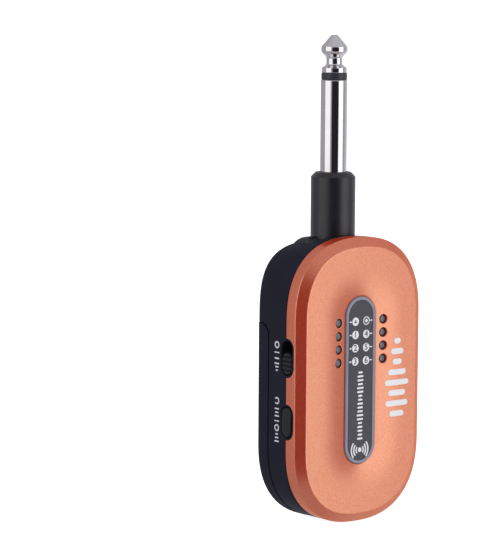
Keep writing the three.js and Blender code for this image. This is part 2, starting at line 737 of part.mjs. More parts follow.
const PIN_OUT = BAY_HALF + CHEEK + 1.3;
for (const [name, side] of [["left", -1], ["right", 1]]) {
  const [inner, outer] = [side * 2.4, side * PIN_OUT].sort((a, b) => a - b);
  add(`hinge_pin_${name}`, rodAlongX(PIN_RADIUS, inner, outer, 0, hingeZ, 20), STEEL);
  const clipX = [side * (BAY_HALF + CHEEK + 0.2), side * (BAY_HALF + CHEEK + 0.8)].sort((a, b) => a - b);
  add(
    `hinge_clip_${name}`,
    cut(
      rodAlongX(2.7, ...clipX, 0, hingeZ, 20),
      rodAlongX(PIN_RADIUS + 0.15, -20, 20, 0, hingeZ, 20),
      box(-20, 20, -0.9, 0.9, hingeZ, hingeZ + 5),
    ),
    STEEL,
  );
}

const PLUG_ROOT = -10;
const sleeveProfile = [
  [0, PLUG_ROOT],
  [SLEEVE_RADIUS, PLUG_ROOT],
  [SLEEVE_RADIUS, SLEEVE_TOP - 0.2],
  [SLEEVE_RADIUS - 0.2, SLEEVE_TOP],
  [0, SLEEVE_TOP],
];
const sleeveBore = rod(SLEEVE_BORE, PLUG_ROOT - 1, SLEEVE_TOP + 1, 20);
add("plug_sleeve", cut(turned(sleeveProfile, 32), sleeveBore), CHROME);

const insulatorBase = SLEEVE_TOP + 0.05;
const insulatorTop = insulatorBase + INSULATOR_HEIGHT;
add(
  "plug_insulator",
  cut(
    turned(
      [
        [0, -9.6],
        [INSULATOR_TUBE_RADIUS, -9.6],
        [INSULATOR_TUBE_RADIUS, insulatorBase],
        [INSULATOR_RADIUS, insulatorBase],
        [INSULATOR_RADIUS, insulatorTop],
        [0, insulatorTop],
      ],
      24,
    ),
    rod(ROD_RADIUS + 0.2, PLUG_ROOT - 1, insulatorTop + 1, 16),
  ),
  SOFT_BLACK,
);

// The tip: a cone, a ball, a waist that the jack's spring drops into, and a flange, all on one centre rod.
const TIP_FLAT = 0.66;
const BALL_RADIUS = 3.02;
const WAIST_RADIUS = 1.83;
const FLANGE_HEIGHT = 1.15;

function plugTip() {
  const flangeBase = insulatorTop + 0.05;
  const flangeTop = flangeBase + FLANGE_HEIGHT;
  const up = (fromTip) => PLUG_LENGTH - fromTip;
  const at = (r, z) => new THREE.Vector2(r, z);
  const flange = at(INSULATOR_RADIUS - 0.1, flangeTop);
  const waist = at(WAIST_RADIUS, up(6.1));
  const ball = at(BALL_RADIUS, up(3.2));
  const pieces = [
    new THREE.QuadraticBezierCurve(flange, at(WAIST_RADIUS, flangeTop + 0.35), waist),
    new THREE.CubicBezierCurve(waist, at(WAIST_RADIUS, up(4.9)), at(BALL_RADIUS, up(4.4)), ball),
    new THREE.QuadraticBezierCurve(ball, at(BALL_RADIUS, up(2.6)), at(2.5, up(2.2))),
  ];
  const curve = pieces.flatMap((piece) => piece.getPoints(4).slice(0, -1)).map((p) => [p.x, p.y]);
  return turned(
    [
      [0, -9],
      [ROD_RADIUS, -9],
      [ROD_RADIUS, flangeBase],
      [INSULATOR_RADIUS, flangeBase],
      [INSULATOR_RADIUS, flangeTop - 0.15],
      ...curve,
      [2.5, up(2.2)],
      [TIP_FLAT, up(0.05)],
      [TIP_FLAT - 0.25, up(0)],
      [0, up(0)],
    ],
    24,
  );
}
add("plug_tip", plugTip(), CHROME);

export default part;
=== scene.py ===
"""Looks of a plug-in wireless guitar transmitter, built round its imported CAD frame.

Lengths below are millimetres in the CAD frame: +Z up to the plug's tip, -Y the front, +X right seen from
the front, with the origin on the plug's axis at the collar's top. They become metres when a mesh is made.
"""

import math

import bmesh
import bpy
import numpy as np
from mathutils import Matrix, Vector


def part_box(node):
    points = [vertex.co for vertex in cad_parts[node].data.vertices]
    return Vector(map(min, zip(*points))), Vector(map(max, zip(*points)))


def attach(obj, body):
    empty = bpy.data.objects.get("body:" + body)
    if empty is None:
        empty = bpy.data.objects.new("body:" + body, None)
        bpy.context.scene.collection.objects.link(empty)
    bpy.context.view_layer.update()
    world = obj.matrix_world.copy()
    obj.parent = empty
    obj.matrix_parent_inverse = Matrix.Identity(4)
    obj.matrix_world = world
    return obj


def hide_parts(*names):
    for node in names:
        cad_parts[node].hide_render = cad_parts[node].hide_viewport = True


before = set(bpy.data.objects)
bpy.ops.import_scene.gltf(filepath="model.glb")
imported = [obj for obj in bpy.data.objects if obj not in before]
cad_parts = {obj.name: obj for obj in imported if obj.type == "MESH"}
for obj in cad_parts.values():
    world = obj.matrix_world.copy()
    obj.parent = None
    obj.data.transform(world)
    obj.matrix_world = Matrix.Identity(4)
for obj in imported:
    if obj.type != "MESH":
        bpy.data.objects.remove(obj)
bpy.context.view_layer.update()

MM = 0.001


def cad(node):
    """A CAD node's lowest and highest corner in millimetres."""
    low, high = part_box(node)
    return np.array(low) / MM, np.array(high) / MM


# ---- camera

AZIMUTH, ELEVATION, ROLL = (math.radians(a) for a in (38.566, 6.797, 0.32))
DISTANCE = 610.1
LENS, SENSOR = 164.96, 36
LOOKED_AT = Vector((0, -3.08, -38.74))
AIM_LEFT, AIM_UP = 23.8, 13.08  # the picture's middle, from the point looked at


def make_camera():
    """The camera stands in front, to the left and a little above, and looks past the housing's left side."""
    forward = Vector(
        (
            math.sin(AZIMUTH) * math.cos(ELEVATION),
            math.cos(AZIMUTH) * math.cos(ELEVATION),
            -math.sin(ELEVATION),
        )
    )
    level = Vector((math.cos(AZIMUTH), -math.sin(AZIMUTH), 0))
    upright = level.cross(forward)
    right = level * math.cos(ROLL) + upright * math.sin(ROLL)
    up = upright * math.cos(ROLL) - level * math.sin(ROLL)
    aim = LOOKED_AT - right * AIM_LEFT + up * AIM_UP
    place = aim - forward * DISTANCE
    camera = bpy.data.objects.new("camera", bpy.data.cameras.new("camera"))
    camera.data.lens = LENS
    camera.data.sensor_width = SENSOR
    camera.data.clip_start = 0.01
    camera.data.clip_end = 20
    turn = Matrix((right, up, -forward)).transposed().to_4x4()
    camera.matrix_world = Matrix.Translation(place * MM) @ turn
    bpy.context.scene.collection.objects.link(camera)
    bpy.context.scene.camera = camera


make_camera()

# ---- dimensions

COVER_LOW, COVER_HIGH = cad("front_cover")
FACE = COVER_LOW[1]  # depths are measured back from here
MIDDLE = (COVER_LOW[2] + COVER_HIGH[2]) / 2  # heights are measured up from here
HALF_W, HALF_H = 19.3, 33.9
DEPTH = cad("rear_cover")[1][1] - FACE
WALL = 1.4
END_POWER = 2.42  # exponent of the superellipse that rounds each end
BEVEL_INSET, BEVEL_DEPTH = 2.2, 1.55
PARTING = 4.75  # the depth at which the front cover ends
PARTING_GAP = 0.14  # from the cover to the frame, and the chamfer on the frame's front edge
FRAME_FRONT = PARTING + PARTING_GAP
DISH_DEPTH, DISH_REACH, DISH_POWER = 0.8, 8.5, 2.6  # at the label, how far beyond it, and how it eases out
LABEL_LOW, LABEL_HIGH = cad("label_frame")
LABEL_W = (LABEL_HIGH[0] - LABEL_LOW[0]) / 2
LABEL_H = (LABEL_HIGH[2] - LABEL_LOW[2]) / 2
LABEL_TOP = LABEL_LOW[1] - FACE
LABEL_RIM = 0.8
LIGHTS = [
    (f"{side}_{row}", cad(f"light_pipe_{side}_{row}")) for side in ("left", "right") for row in (1, 2, 3, 4)
]
PANEL_FACE = LABEL_TOP + 0.1
HOLE_RADIUS, LENS_RADIUS, LENS_FLANGE = 1.1, 0.88, 1.28
SHOULDER_POWER, SHOULDER_DROP = 3.4, 1.4  # the frame's upper end at the back is squarer and lower
BACK_ROUND = 2.8
SEAM_DEPTH, SEAM_TOP, SEAM_CORNER, SEAM_HALF = 11.2, 13.9, 2.8, 0.14
TONGUE_REACH, TONGUE_PAST = 0.9, 0.8  # the strip that backs the seam, on the frame's side and beyond it
TONGUE_THICK, TONGUE_GAP = 0.36, 0.06
PIN_LOW, PIN_HIGH = cad("hinge_pin_left")
HINGE_Z = (PIN_LOW[2] + PIN_HIGH[2]) / 2
PIN_RADIUS = 2
COLLAR, CROWN = 5.3, 6.8  # the collar's radius, and the hinge barrel's at its crown
BARREL_HALF, BAY_HALF = 8.8, 9.1  # half the barrel's length, and half the bay's
BAY_GAP = 0.35  # round the arm
CHEEK = 1.5  # the bay's wall
FILLET = 0.6  # between collar and barrel
LIP_RISE, LIP_FRONT = 4.85, 2.9  # where the bay's lips end, above the hinge and in front of it
SEAT_RADIUS, SEAT_FLOOR = 3.3, -10.4  # the collar's bore, in which the plug sits
SLEEVE_RADIUS = 3.175
CONTROL_DEPTH, SLOT_HALF_WIDTH = 4.5, 2.0
BEZEL, BEZEL_FACE = 0.42, -19.31  # the lip round a control: its width, and the x of its outer face


def at_depth(depth):
    return FACE + depth


def at_height(height):
    return MIDDLE + height


def middle_of(low, high):
    """The x and z of a box's middle."""
    return (low[0] + high[0]) / 2, (low[2] + high[2]) / 2


# ---- mesh kit


def unit(v):
    return v / max(np.linalg.norm(v), 1e-9)


def turns(count):
    """Angles spaced evenly round a circle."""
    return [2 * math.pi * k / count for k in range(count)]


def circle(radius, z, count):
    return [(radius * math.cos(t), radius * math.sin(t), z) for t in turns(count)]


def rounded(points, radii, steps=4):
    """An open 2-D line with its inner corners rounded to the given radii."""
    points = [np.array(p, float) for p in points]
    line = [points[0]]
    for before, corner, after, radius in zip(points, points[1:], points[2:], radii):
        a, b = unit(before - corner), unit(after - corner)
        half = math.acos(np.clip(a @ b, -1, 1)) / 2
        if radius <= 0 or half < 1e-3 or half > 1.56:
            line.append(corner)
            continue
        reach = min(radius / math.tan(half), *(0.49 * np.linalg.norm(p - corner) for p in (before, after)))
        radius = reach * math.tan(half)
        centre = corner + unit(a + b) * (reach / math.cos(half))
        start, end = corner + a * reach - centre, corner + b * reach - centre
        sweep = math.pi - 2 * half
        for k in range(steps + 1):
            t = k / steps
            mix = (math.sin((1 - t) * sweep) * start + math.sin(t * sweep) * end) / math.sin(sweep)
            line.append(centre + mix)
    line.append(points[-1])
    return line


def loft(rings, caps=(True, True), closed=False):
    """Rings of equal length joined side to side, with a cap on the first and last."""
    n = len(rings[0])
    verts = [tuple(p) for r in rings for p in r]
    faces = []
    count = len(rings)
    for r in range(count if closed else count - 1):
        a, b = r * n, ((r + 1) % count) * n
        faces += [(a + i, a + (i + 1) % n, b + (i + 1) % n, b + i) for i in range(n)]
    if not closed and caps[0]:
        faces.append(tuple(range(n - 1, -1, -1)))
    if not closed and caps[1]:
        faces.append(tuple(range((count - 1) * n, count * n)))
    return verts, faces


def lathe(profile, segments=96, place=(0, 0, 0), axis="z"):
    """A solid turned from [radius, height] points whose first and last lie on the axis."""
    rings = [circle(radius, height, segments) for radius, height in profile[1:-1]]
    verts, faces = loft(rings, caps=(False, False))
    low, high = len(verts), len(verts) + 1
    verts += [(0, 0, profile[0][1]), (0, 0, profile[-1][1])]
    last = (len(rings) - 1) * segments
    for i in range(segments):
        j = (i + 1) % segments
        faces.append((low, j, i))
        faces.append((high, last + i, last + j))
    turn = {"z": lambda x, y, z: (x, y, z), "y": lambda x, y, z: (x, z, y), "x": lambda x, y, z: (z, x, y)}
    moved = [tuple(np.add(turn[axis](*v), place)) for v in verts]
    return moved, faces


def block(low, high, edge=0.0):
    """A box, with a chamfer of size edge on each edge that runs along z."""
    (x0, y0, z0), (x1, y1, z1) = low, high
    e = edge
    corners = [(x0, y0), (x1, y0), (x1, y1), (x0, y1)]
    if e:
        corners = [(x0 + e, y0), (x1 - e, y0), (x1, y0 + e), (x1, y1 - e)]
        corners += [(x1 - e, y1), (x0 + e, y1), (x0, y1 - e), (x0, y0 + e)]
    return loft([[(x, y, z) for x, y in corners] for z in (z0, z1)])


def solid(name, *shells):
    """One object from closed shells given in millimetres, faces pointing out."""
    mesh = bpy.data.meshes.new(name)
    verts, faces = [], []
    for shell_verts, shell_faces in shells:
        base = len(verts)
        verts += [tuple(c * MM for c in v) for v in shell_verts]
        faces += [tuple(base + i for i in f) for f in shell_faces]
    mesh.from_pydata(verts, [], faces)
    bm = bmesh.new()
    bm.from_mesh(mesh)
    bmesh.ops.recalc_face_normals(bm, faces=bm.faces)
    bm.to_mesh(mesh)
    bm.free()
    made = bpy.data.objects.new(name, mesh)
    bpy.context.scene.collection.objects.link(made)
    return made


def carve(base, tools, operation="DIFFERENCE"):
    """Cuts each tool from base, or joins or intersects it, and throws the tools away."""
    for tool in tools:
        step = base.modifiers.new("carve", "BOOLEAN")
        step.operation = operation
        step.solver = "MANIFOLD"
        step.object = tool
    bpy.context.view_layer.update()
    graph = bpy.context.evaluated_depsgraph_get()
    mesh = bpy.data.meshes.new_from_object(base.evaluated_get(graph))
    base.modifiers.clear()
    base.data = mesh
    for tool in tools:
        bpy.data.objects.remove(tool)
    return base


def finish_piece(piece, material, body, stands_for=(), crease=32):
    """Gives a piece its look, its body and the CAD nodes that it replaces."""
    piece.data.materials.clear()
    piece.data.materials.append(material)
    piece.data.shade_smooth()
    piece.data.set_sharp_from_angle(angle=math.radians(crease))
    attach(piece, body)
    if stands_for:
        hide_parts(*stands_for)
    return piece


# ---- outlines

STRAIGHT_STEPS, ARC_STEPS = 26, 100


def even_arc(power):
    """Angles from 0 to pi that space points evenly along half a superellipse."""
    t = np.linspace(0, math.pi, 1601)
    x = np.sign(np.cos(t)) * np.abs(np.cos(t)) ** (2 / power)
    y = np.abs(np.sin(t)) ** (2 / power)
    run = np.concatenate([[0], np.cumsum(np.hypot(np.diff(x), np.diff(y)))])
    return np.interp(np.linspace(0, run[-1], ARC_STEPS + 1), run, t)[:-1]


ARCS = {}


def outline(half_w, top, bottom, top_power=END_POWER, bottom_power=END_POWER):
    """Points round a straight-sided figure with a superellipse at each end, as (x, height)."""
    points = []
    reach = (bottom - half_w, top - half_w)
    for i in range(STRAIGHT_STEPS):
        points.append((half_w, -reach[0] + (reach[0] + reach[1]) * i / STRAIGHT_STEPS))
    for sign, end, power in ((1, reach[1], top_power), (-1, reach[0], bottom_power)):
        key = round(power, 3)
        if key not in ARCS:
            ARCS[key] = even_arc(key)
        for t in ARCS[key]:
            c, s = math.cos(t), math.sin(t)
            x = sign * math.copysign(half_w * abs(c) ** (2 / key), c)
            points.append((x, sign * (end + half_w * abs(s) ** (2 / key))))
        if sign > 0:
            for i in range(STRAIGHT_STEPS):
                points.append((-half_w, reach[1] - (reach[0] + reach[1]) * i / STRAIGHT_STEPS))
    return points


def cover_ring(inset, depth):
    ring = outline(HALF_W - inset, HALF_H - inset, HALF_H - inset)
    return [(x, at_depth(depth), at_height(h)) for x, h in ring]


def smooth(t):
    """An easing from 0 to 1."""
    t = min(1.0, max(0.0, t))
    return t * t * (3 - 2 * t)


def frame_ring(depth, inset):
    """The black frame grows squarer and lower at its shoulders towards the back."""
    share = smooth((depth - PARTING) / (DEPTH - BACK_ROUND - PARTING))
    top = HALF_H - SHOULDER_DROP * share - inset
    power = END_POWER + (SHOULDER_POWER - END_POWER) * share
    ring = outline(HALF_W - inset, top, HALF_H - inset, power)
    return [(x, at_depth(depth), at_height(h)) for x, h in ring]


def frame_envelope(front, inset, edge=0.0):
    """The black part of the housing as one solid, pulled in by inset."""
    back, turn = DEPTH - inset, BACK_ROUND - inset
    rings = []
    if edge:
        rings += [frame_ring(front, inset + edge), frame_ring(front + edge * 0.3, inset + edge * 0.3)]
        front += edge
    rings += [frame_ring(front + (back - turn - front) * k / 12, inset) for k in range(12)]
    for k in range(11):
        t = k / 10 * math.pi / 2
        rings.append(frame_ring(back - turn + turn * math.sin(t), inset + turn * (1 - math.cos(t))))
    return loft(rings)


def dish(x, height):
    """How far the front face has sunk at a point, from its distance to the label."""
    straight = LABEL_H - LABEL_W
    away = math.hypot(x, max(0.0, abs(height) - straight)) - LABEL_W
    return DISH_DEPTH * max(0.0, 1 - max(0.0, away) / DISH_REACH) ** DISH_POWER


def stadium(half_w, half_l, steps=20, sides=1):
    """A figure with round ends, as (across, along). sides is how many steps each straight side has."""
    straight = half_l - half_w
    points = []
    for sign in (1, -1):
        for k in range(steps + 1):
            t = math.pi * k / steps
            points.append((sign * half_w * math.cos(t), sign * (straight + half_w * math.sin(t))))
        points += [(-sign * half_w, sign * straight * (1 - 2 * k / sides)) for k in range(1, sides)]
    return points


def left_wall(points, x, height):
    """Places (across, along) points in the left wall's plane."""
    return [(x, at_depth(CONTROL_DEPTH) + a, at_height(height) + b) for a, b in points]


def slot_tool(name, height, half_w, half_l, outer=-21.5, inner=-15.6):
    """Cuts a control's opening through the left wall."""
    ring = stadium(half_w, half_l)
    return solid(name, loft([left_wall(ring, x, height) for x in (outer, inner)]))


# ---- materials


def add_node(tree, kind, links, **settings):
    """A node. Each input is linked if links gives a socket, and set if it gives a value."""
    node = tree.nodes.new(kind)
    for key, value in settings.items():
        setattr(node, key, value)
    for key, value in links.items():
        if isinstance(value, bpy.types.NodeSocket):
            tree.links.new(value, node.inputs[key])
        else:
            node.inputs[key].default_value = value
    return node


class Look:
    """A small builder of procedural node materials, in the pieces' own coordinates."""

    def __init__(self, name):
        self.material = bpy.data.materials.new(name)
        self.material.use_nodes = True
        self.tree = self.material.node_tree
        self.tree.nodes.clear()
        self.place = self.add("ShaderNodeTexCoord").outputs["Object"]

    def add(self, kind, links=None, **settings):
        return add_node(self.tree, kind, links or {}, **settings)

    def bevel(self, radius):
        """A normal that rounds the piece's edges."""
        return self.add("ShaderNodeBevel", {"Radius": radius * MM}, samples=4).outputs[0]

    def noise(self, scale, detail=3.0, rough=0.55, stretch=None):
        place = self.place
        if stretch:
            place = self.add("ShaderNodeMapping", {"Vector": place, "Scale": stretch}).outputs[0]
        links = {"Vector": place, "Scale": scale, "Detail": detail, "Roughness": rough}
        return self.add("ShaderNodeTexNoise", links).outputs["Fac"]

    def flakes(self, scale):
        """A random value for each cell."""
        links = {"Vector": self.place, "Scale": scale}
        cells = self.add("ShaderNodeTexVoronoi", links).outputs["Color"]
        return self.add("ShaderNodeSeparateColor", {"Color": cells}).outputs[0]

    def spread(self, factor, low, high, start=0.0, end=1.0):
        """Maps a factor from start..end to low..high."""
        links = {"Value": factor, "From Min": start, "From Max": end, "To Min": low, "To Max": high}
        return self.add("ShaderNodeMapRange", links).outputs["Result"]

    def tint(self, factor, low, high, start=0.3, end=0.7):
        """A colour that runs from low to high as a factor runs from start to end."""
        node = self.add("ShaderNodeValToRGB", {"Fac": factor})
        first, last = node.color_ramp.elements
        first.position, last.position = start, end
        first.color, last.color = (*low, 1), (*high, 1)
        return node.outputs["Color"]

    def blend(self, factor, low, high):
        links = {"Factor": factor, 6: low, 7: high}
        return self.add("ShaderNodeMix", links, data_type="RGBA").outputs[2]

    def edges(self, radius, gain=9.0):
        """1 along the piece's edges and 0 away from them."""
        normal = self.add("ShaderNodeNewGeometry").outputs["Normal"]
        links = {0: self.bevel(radius), 1: normal}
        dot = self.add("ShaderNodeVectorMath", links, operation="DOT_PRODUCT").outputs["Value"]
        return self.spread(dot, 1.0, 0.0, 1 - 1 / gain, 0.998)

    def bump(self, height, strength, distance, radius=0.0):
        """Raises the surface by a height, on edges rounded to a radius."""
        links = {"Height": height, "Strength": strength, "Distance": distance * MM}
        if radius:
            links["Normal"] = self.bevel(radius)
        return self.add("ShaderNodeBump", links).outputs["Normal"]

    def surface(self, **inputs):
        """The finished material. An input's name has _ for each space."""
        named = {key.replace("_", " "): value for key, value in inputs.items()}
        shader = self.add("ShaderNodeBsdfPrincipled", named)
        out = self.add("ShaderNodeOutputMaterial")
        self.tree.links.new(shader.outputs[0], out.inputs["Surface"])
        return self.material


def flake_paint():
    """Satin metallic paint: a deep red-orange body under a strong, paler orange sheen, with a painted
    highlight along its edges.
    """
    look = Look("orange_flake")
    flake = look.flakes(4300.0)
    cloud = look.noise(70.0, 3.0)
    grain = look.noise(3000.0, 2.5)
    base = look.tint(flake, (0.57, 0.029, 0.006), (0.64, 0.037, 0.010), 0.0, 1.0)
    base = look.blend(look.spread(cloud, 0.0, 0.16), base, (0.50, 0.024, 0.006, 1))
    # painted highlight: the base colour turns pale orange along every edge, standing in for the light that
    # the rounded edges catch
    base = look.blend(look.spread(look.edges(0.3), 0.0, 0.7), base, (1.0, 0.42, 0.24, 1))
    rough = look.spread(flake, 0.28, 0.32)
    normal = look.bump(grain, 0.2, 0.02, 0.12)
    glint = look.tint(look.noise(3000.0, 2.0), (0.90, 0.475, 0.285), (1.0, 0.635, 0.43), 0.35, 0.65)
    sheen = {"IOR": 2.9, "Specular_IOR_Level": 0.85, "Specular_Tint": glint}
    return look.surface(Base_Color=base, Roughness=rough, Normal=normal, **sheen)


def plastic(name, dark, light, rough, grain=0.22, scale=3400.0, radius=0.25, specular=0.4, scuff=0.25):
    """Moulded plastic with a fine texture, faint mottling and paler scuffed edges."""
    look = Look(name)
    cloud = look.noise(160.0, 5.0)
    base = look.tint(cloud, dark, light)
    worn = look.edges(0.3)
    patch = look.noise(700.0, 4.0)
    amount = look.add("ShaderNodeMath", {0: worn, 1: patch}, operation="MULTIPLY").outputs[0]
    paler = tuple(min(1.0, c * 2.6 + 0.02) for c in light) + (1,)
    base = look.blend(look.spread(amount, 0.0, scuff), base, paler)
    roughness = look.spread(look.noise(900.0, 4.0), rough - 0.05, rough + 0.06)
    normal = look.bump(look.noise(scale, 2.0), grain, 0.03, radius)
    return look.surface(Base_Color=base, Roughness=roughness, Normal=normal, Specular_IOR_Level=specular)


def metal(name, dark, light, rough, streak=(1, 1, 1), scale=900.0, grain=0.05, radius=0.12):
    """Bright metal with faint turning or rolling marks."""
    look = Look(name)
    marks = look.noise(scale, 4.0, 0.6, streak)
    haze = look.noise(220.0, 3.0)
    base = look.tint(haze, dark, light, 0.25, 0.75)
    roughness = look.spread(marks, rough * 0.7, rough * 1.4)
    normal = look.bump(marks, grain, 0.006, radius)
    return look.surface(Base_Color=base, Metallic=1.0, Roughness=roughness, Normal=normal)


def ink(name, dark, light, rough=0.38):
    """A thin printed ink, slightly uneven."""
    look = Look(name)
    base = look.tint(look.noise(1800.0, 4.0), dark, light)
    normal = look.bump(look.noise(5000.0, 2.0), 0.1, 0.02)
    roughness = look.spread(look.noise(900.0), rough - 0.06, rough + 0.06)
    return look.surface(Base_Color=base, Roughness=roughness, Normal=normal, IOR=2.1)


def lens_look():
    """Smoked plastic under a soft gloss."""
    look = Look("smoked_lens")
    base = look.tint(look.noise(900.0, 3.0), (0.10, 0.11, 0.145), (0.135, 0.145, 0.185))
    rough = look.spread(look.noise(1500.0), 0.22, 0.34)
    normal = look.bump(look.noise(3000.0, 2.0), 0.08, 0.02)
    coat = {"Coat_Weight": 0.35, "Coat_Roughness": 0.25}
    return look.surface(Base_Color=base, Roughness=rough, Normal=normal, **coat)


def board_look():
    """Green solder mask over raised tracks."""
    look = Look("board")
    tracks = look.noise(420.0, 1.0, 0.3, (1, 1, 0.25))
    base = look.tint(tracks, (0.006, 0.07, 0.03), (0.015, 0.14, 0.06), 0.46, 0.5)
    normal = look.bump(tracks, 0.3, 0.03)
    return look.surface(Base_Color=base, Roughness=look.spread(tracks, 0.35, 0.5), Normal=normal)


ORANGE = flake_paint()
SHELL = plastic("shell_black", (0.015, 0.0153, 0.0285), (0.018, 0.0184, 0.0335), 0.6, specular=0.08)
ARM = plastic(
    "arm_black", (0.008, 0.008, 0.012), (0.011, 0.011, 0.016), 0.36, grain=0.5, radius=0.2, specular=0.5
)
CONTROL = plastic(
    "control_black", (0.0095, 0.0098, 0.017), (0.0125, 0.0128, 0.021), 0.5, radius=0.12, specular=0.28
)
INSULATOR = plastic("insulator_black", (0.02, 0.022, 0.036), (0.03, 0.032, 0.048), 0.4, grain=0.1, radius=0.1)
PANEL = plastic("label_grey", (0.066, 0.067, 0.082), (0.078, 0.079, 0.094), 0.55, grain=0.12, scuff=0.1)
RIM = plastic("label_rim_grey", (0.30, 0.31, 0.39), (0.34, 0.35, 0.43), 0.42, grain=0.1, scuff=0.15)
FOAM = plastic("foam_grey", (0.02, 0.02, 0.022), (0.035, 0.035, 0.04), 0.9, grain=0.8, scale=1600.0)
CHIP = plastic("chip_white", (0.62, 0.60, 0.54), (0.72, 0.70, 0.64), 0.5, grain=0.1)
CHROME = metal("chrome", (0.58, 0.57, 0.585), (0.64, 0.63, 0.64), 0.06, (1, 1, 9))
STEEL = metal("steel", (0.42, 0.43, 0.45), (0.6, 0.61, 0.63), 0.3, (1, 4, 4), grain=0.15)
FOIL = metal("foil", (0.48, 0.49, 0.53), (0.62, 0.63, 0.67), 0.4, (1, 1, 0.3), 300.0, 0.4)
GOLD = metal("gold", (0.75, 0.5, 0.18), (0.85, 0.6, 0.25), 0.25)
LENS_LOOK = lens_look()
WHITE_INK = ink("white_ink", (0.95, 0.96, 0.99), (0.98, 0.99, 1.0))
GREY_INK = ink("silver_ink", (0.70, 0.72, 0.80), (0.78, 0.80, 0.88), 0.4)
DARK_INK = ink("dark_ink", (0.055, 0.056, 0.068), (0.07, 0.071, 0.085))
BOARD = board_look()

INNER_LOOKS = {
    STEEL: ["radio_shield", "hinge_pin_left", "hinge_pin_right"]
    + ["hinge_clip_left", "hinge_clip_right", "board_screw_upper", "board_screw_lower"],
    BOARD: ["circuit_board"],
    FOIL: ["battery"],
    FOAM: ["battery_pad"],
    CONTROL: ["switch_case", "switch_stem", "button_case", "button_plunger"],
    CHIP: ["chip_antenna"] + [f"light_chip_{name}" for name, _ in LIGHTS],
}
for look, nodes in INNER_LOOKS.items():
    for node in nodes:
        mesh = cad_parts[node].data
        mesh.materials.clear()
        mesh.materials.append(look)

# ---- front cover

SWITCH, BUTTON = (6.5, 4.15), (-8.6, 3.75)  # each opening's height and half its length
CONTROLS = (SWITCH, BUTTON)


def light_hole(low, high):
    """The bore for one light pipe, and the flare at its mouth, square to the dished face."""
    x, z = middle_of(low, high)
    bore = [(0, -3), (HOLE_RADIUS, -3), (HOLE_RADIUS, 4.4), (0, 4.4)]
    bored = solid("bore", lathe(bore, 40, (x, at_depth(0), z), "y"))
    share = 1 - (abs(x) - LABEL_W) / DISH_REACH
    slope = DISH_POWER * DISH_DEPTH / DISH_REACH * share ** (DISH_POWER - 1)
    flare = [(0, -0.6), (HOLE_RADIUS + 0.74, -0.6), (HOLE_RADIUS - 0.02, 0.16), (0, 0.16)]
    cone = solid("flare", lathe(flare, 40, (0, 0, 0), "y"))
    lean = Matrix.Rotation(math.copysign(math.atan(slope), -x), 4, "Z")
    spot = Vector((x, at_depth(dish(x, z - MIDDLE)), z)) * MM
    cone.data.transform(Matrix.Translation(spot) @ lean)
    return [bored, cone]


def front_cover():
    """The orange cover. Rings across its dish turn by degrees into the label's recess."""
    recess = (LABEL_W + 0.06, LABEL_H + 0.06)
    brink = 0.16
    rim = rounded(
        [(WALL, PARTING), (0, PARTING), (0, BEVEL_DEPTH), (BEVEL_INSET, 0), (BEVEL_INSET + 1.2, 0)],
        [0.12, 0.34, 0.3],
        6,
    )
    rings = [cover_ring(BEVEL_INSET + WALL, WALL + BEVEL_DEPTH / 2), cover_ring(WALL, BEVEL_DEPTH + WALL)]
    rings += [cover_ring(inset, depth) for inset, depth in rim[:-1]]
    inner_w, inner_h = HALF_W - BEVEL_INSET - 0.4, HALF_H - BEVEL_INSET - 0.4
    steps = 46
    for k in range(steps):
        share = k / steps
        half_w = inner_w + (recess[0] + brink - inner_w) * share
        top = inner_h + (recess[1] + brink - inner_h) * share
        power = END_POWER + (2 - END_POWER) * share
        ring = outline(half_w, top, top, power, power)
        rings.append([(x, at_depth(dish(x, h)), at_height(h)) for x, h in ring])
    for grow, sink in ((brink, 0), (0.08, 0.02), (0.02, 0.07), (0, 0.16), (0, 0.4)):
        ring = outline(recess[0] + grow, recess[1] + grow, recess[1] + grow, 2, 2)
        rings.append([(x, at_depth(dish(x, h) + sink), at_height(h)) for x, h in ring])
    floor = outline(recess[0], recess[1], recess[1], 2, 2)
    rings.append([(x, at_depth(LABEL_TOP + 0.8), at_height(h)) for x, h in floor])
    cover = solid("front_shell", loft(rings))
    tools = []
    for _, (low, high) in LIGHTS:
        tools += light_hole(low, high)
    for height, half in CONTROLS:
        tools.append(slot_tool("notch", height, SLOT_HALF_WIDTH + BEZEL + 0.1, half + BEZEL + 0.1))
    carve(cover, tools)
    finish_piece(cover, ORANGE, "housing", ["front_cover"], 24)


front_cover()

# ---- label


def label_ring(inset, depth):
    ring = outline(LABEL_W - inset, LABEL_H - inset, LABEL_H - inset, 2, 2)
    return [(x, at_depth(depth), at_height(h)) for x, h in ring]


def label():
    """The grey surround and the darker panel inside it."""
    under = LABEL_TOP + 0.65
    section = rounded(
        [(0, under), (0, LABEL_TOP), (LABEL_RIM, LABEL_TOP), (LABEL_RIM, under), (0.4, under)],
        [0.3, 0.12, 0],
        5,
    )
    rim = solid("label_rim", loft([label_ring(inset, depth) for inset, depth in section], closed=True))
    finish_piece(rim, RIM, "housing", ["label_frame"])
    edge = LABEL_RIM + 0.06
    section = rounded([(edge, under), (edge, PANEL_FACE), (edge + 0.8, PANEL_FACE)], [0.06], 3)
    panel = solid("label_panel", loft([label_ring(inset, depth) for inset, depth in section]))
    finish_piece(panel, PANEL, "housing", ["label_plate"])


label()

# ---- prints


def decal(shape, place, steps=6, thick=0.03):
    """A thin raised patch of ink. place maps (a, b, lift) to a point that far above a surface."""
    centre = np.mean(shape, axis=0)
    rings = [[place(a, b, -thick) for a, b in shape]]
    for k in range(steps):
        share = 1 - k / steps
        points = [centre + (np.array(p) - centre) * share for p in shape]
        rings.append([place(a, b, thick) for a, b in points])
    return loft(rings)


